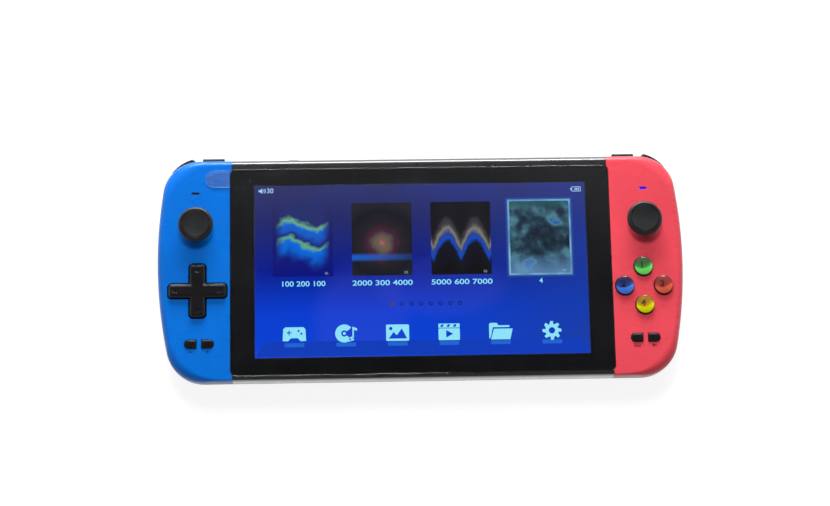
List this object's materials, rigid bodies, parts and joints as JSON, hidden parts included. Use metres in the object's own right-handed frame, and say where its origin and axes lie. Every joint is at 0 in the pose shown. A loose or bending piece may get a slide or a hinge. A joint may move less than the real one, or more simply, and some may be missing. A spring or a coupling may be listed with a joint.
{
  "type": "handheld game console",
  "caption": "Flat wide handheld game console with a lit screen between two coloured grips, thumbsticks, direction pad, round face buttons and shoulder buttons.",
  "frame": {"origin": "under the middle of the case's bounding box, on the plane that the two palm grips rest on", "axes": "+X to the console's right, +Y to its shoulder buttons, +Z out of the screen"},
  "size_m": [0.2492, 0.1087, 0.0276],
  "materials": {
    "body_black": "fine matt texture",
    "frame_black": "satin",
    "grip_blue": "soft satin",
    "grip_red": "soft satin",
    "clear_glass": "polished",
    "clear_film": "clear film",
    "mask_black": "printed black",
    "lit_panel": "lit display",
    "stick_rubber": "fine grained rubber",
    "pad_plastic": "satin",
    "clear_green": "tinted clear",
    "clear_blue": "tinted clear",
    "clear_red": "tinted clear",
    "clear_yellow": "tinted clear",
    "silicone": "translucent silicone",
    "lens_dark": "smoked",
    "lens_blue": "lit",
    "board_green": "solder mask",
    "shell_metal": "plated",
    "screw_steel": "blackened",
    "cell_wrap": "foil wrap",
    "lead_red": "insulated wire",
    "ribbon_tan": "polyimide",
    "speaker_black": "moulded",
    "inner_white": "moulded nylon"
  },
  "bodies": {
    "case": {"centre_front_frame": "frame_black", "left_front_cover": "grip_blue", "right_front_cover": "grip_red", "rear_cover": "body_black", "display_glass": "clear_glass", "border_mask": "mask_black", "protective_film": "clear_film", "display_panel": "lit_panel", "left_stick_housing": "shell_metal", "right_stick_housing": "shell_metal", "pad_post": "inner_white", "pad_membrane": "silicone", "button_membrane": "silicone", "left_key_membrane": "silicone", "right_key_membrane": "silicone", "left_light_lens": "lens_dark", "right_light_lens": "lens_blue", "left_control_board": "board_green", "right_control_board": "board_green", "left_speaker": "speaker_black", "right_speaker": "speaker_black", "lever_pins": "shell_metal", "shoulder_contacts": "inner_white", "main_board": "board_green", "chip_shield": "shell_metal", "ribbon_cables": "ribbon_tan", "battery_pack": "cell_wrap", "battery_leads": "lead_red", "usb_socket": "shell_metal", "video_socket": "shell_metal", "headphone_socket": "speaker_black", "card_holder": "shell_metal", "power_base": "shell_metal", "rear_screws": "screw_steel", "board_screws": "screw_steel"},
    "left_stick_carrier": {"left_stick_carrier": "inner_white"},
    "left_stick_yoke": {"left_stick_yoke": "inner_white"},
    "left_stick": {"left_stick_stem": "inner_white", "left_stick_cap": "stick_rubber"},
    "right_stick_carrier": {"right_stick_carrier": "inner_white"},
    "right_stick_yoke": {"right_stick_yoke": "inner_white"},
    "right_stick": {"right_stick_stem": "inner_white", "right_stick_cap": "stick_rubber"},
    "pad_ball": {"pad_ball": "shell_metal"},
    "direction_pad": {"direction_pad": "pad_plastic"},
    "top_button": {"top_button": "clear_green"},
    "left_button": {"left_button": "clear_blue"},
    "right_button": {"right_button": "clear_red"},
    "bottom_button": {"bottom_button": "clear_yellow"},
    "volume_down_key": {"volume_down_key": "pad_plastic"},
    "volume_up_key": {"volume_up_key": "pad_plastic"},
    "select_key": {"select_key": "pad_plastic"},
    "start_key": {"start_key": "pad_plastic"},
    "left_shoulder_button": {"left_shoulder_button": "pad_plastic"},
    "left_shoulder_lever": {"left_shoulder_lever": "pad_plastic"},
    "right_shoulder_button": {"right_shoulder_button": "pad_plastic"},
    "right_shoulder_lever": {"right_shoulder_lever": "pad_plastic"},
    "power_slider": {"power_slider": "pad_plastic"}
  },
  "joints": [
    {"name": "left_stick_press", "type": "slide", "parent": "case", "child": "left_stick_carrier", "axis": [0, 0, -1], "range_m": [0, 0.0005], "stiffness_N_per_m": 2000},
    {"name": "left_stick_tilt_x", "type": "hinge", "parent": "left_stick_carrier", "child": "left_stick_yoke", "pos_m": [-0.1061, 0.01955, 0.0124], "axis": [1, 0, 0], "range_deg": [-14, 14], "stiffness_Nm_per_rad": 0.05},
    {"name": "left_stick_tilt_y", "type": "hinge", "parent": "left_stick_yoke", "child": "left_stick", "pos_m": [-0.1061, 0.01955, 0.0124], "axis": [0, 1, 0], "range_deg": [-14, 14], "stiffness_Nm_per_rad": 0.05},
    {"name": "right_stick_press", "type": "slide", "parent": "case", "child": "right_stick_carrier", "axis": [0, 0, -1], "range_m": [0, 0.0005], "stiffness_N_per_m": 2000},
    {"name": "right_stick_tilt_x", "type": "hinge", "parent": "right_stick_carrier", "child": "right_stick_yoke", "pos_m": [0.1061, 0.01955, 0.0124], "axis": [1, 0, 0], "range_deg": [-14, 14], "stiffness_Nm_per_rad": 0.05},
    {"name": "right_stick_tilt_y", "type": "hinge", "parent": "right_stick_yoke", "child": "right_stick", "pos_m": [0.1061, 0.01955, 0.0124], "axis": [0, 1, 0], "range_deg": [-14, 14], "stiffness_Nm_per_rad": 0.05},
    {"name": "pad_rock_x", "type": "hinge", "parent": "case", "child": "pad_ball", "pos_m": [-0.1055, -0.01145, 0.0159], "axis": [1, 0, 0], "range_deg": [-4, 4], "stiffness_Nm_per_rad": 0.15},
    {"name": "pad_rock_y", "type": "hinge", "parent": "pad_ball", "child": "direction_pad", "pos_m": [-0.1055, -0.01145, 0.0159], "axis": [0, 1, 0], "range_deg": [-4, 4], "stiffness_Nm_per_rad": 0.15},
    {"name": "top_button_press", "type": "slide", "parent": "case", "child": "top_button", "axis": [0, 0, -1], "range_m": [0, 0.0012], "stiffness_N_per_m": 600, "springref_m": -0.0003},
    {"name": "left_button_press", "type": "slide", "parent": "case", "child": "left_button", "axis": [0, 0, -1], "range_m": [0, 0.0012], "stiffness_N_per_m": 600, "springref_m": -0.0003},
    {"name": "right_button_press", "type": "slide", "parent": "case", "child": "right_button", "axis": [0, 0, -1], "range_m": [0, 0.0012], "stiffness_N_per_m": 600, "springref_m": -0.0003},
    {"name": "bottom_button_press", "type": "slide", "parent": "case", "child": "bottom_button", "axis": [0, 0, -1], "range_m": [0, 0.0012], "stiffness_N_per_m": 600, "springref_m": -0.0003},
    {"name": "volume_down_key_press", "type": "slide", "parent": "case", "child": "volume_down_key", "axis": [0, 0, -1], "range_m": [0, 0.0006], "stiffness_N_per_m": 1200, "springref_m": -0.0002},
    {"name": "volume_up_key_press", "type": "slide", "parent": "case", "child": "volume_up_key", "axis": [0, 0, -1], "range_m": [0, 0.0006], "stiffness_N_per_m": 1200, "springref_m": -0.0002},
    {"name": "select_key_press", "type": "slide", "parent": "case", "child": "select_key", "axis": [0, 0, -1], "range_m": [0, 0.0006], "stiffness_N_per_m": 1200, "springref_m": -0.0002},
    {"name": "start_key_press", "type": "slide", "parent": "case", "child": "start_key", "axis": [0, 0, -1], "range_m": [0, 0.0006], "stiffness_N_per_m": 1200, "springref_m": -0.0002},
    {"name": "left_shoulder_press", "type": "slide", "parent": "case", "child": "left_shoulder_button", "axis": [0, -1, 0], "range_m": [0, 0.001], "stiffness_N_per_m": 900, "springref_m": -0.0003},
    {"name": "left_lever_turn", "type": "hinge", "parent": "case", "child": "left_shoulder_lever", "pos_m": [-0.11457, 0.04521, 0.0085], "axis": [0, 0, -1], "range_deg": [0, 5], "stiffness_Nm_per_rad": 0.12, "springref_deg": -1.72},
    {"name": "right_shoulder_press", "type": "slide", "parent": "case", "child": "right_shoulder_button", "axis": [0, -1, 0], "range_m": [0, 0.001], "stiffness_N_per_m": 900, "springref_m": -0.0003},
    {"name": "right_lever_turn", "type": "hinge", "parent": "case", "child": "right_shoulder_lever", "pos_m": [0.11457, 0.04521, 0.0085], "axis": [0, 0, 1], "range_deg": [0, 5], "stiffness_Nm_per_rad": 0.12, "springref_deg": -1.72},
    {"name": "power_slide", "type": "slide", "parent": "case", "child": "power_slider", "axis": [1, 0, 0], "range_m": [0, 0.002]}
  ]
}
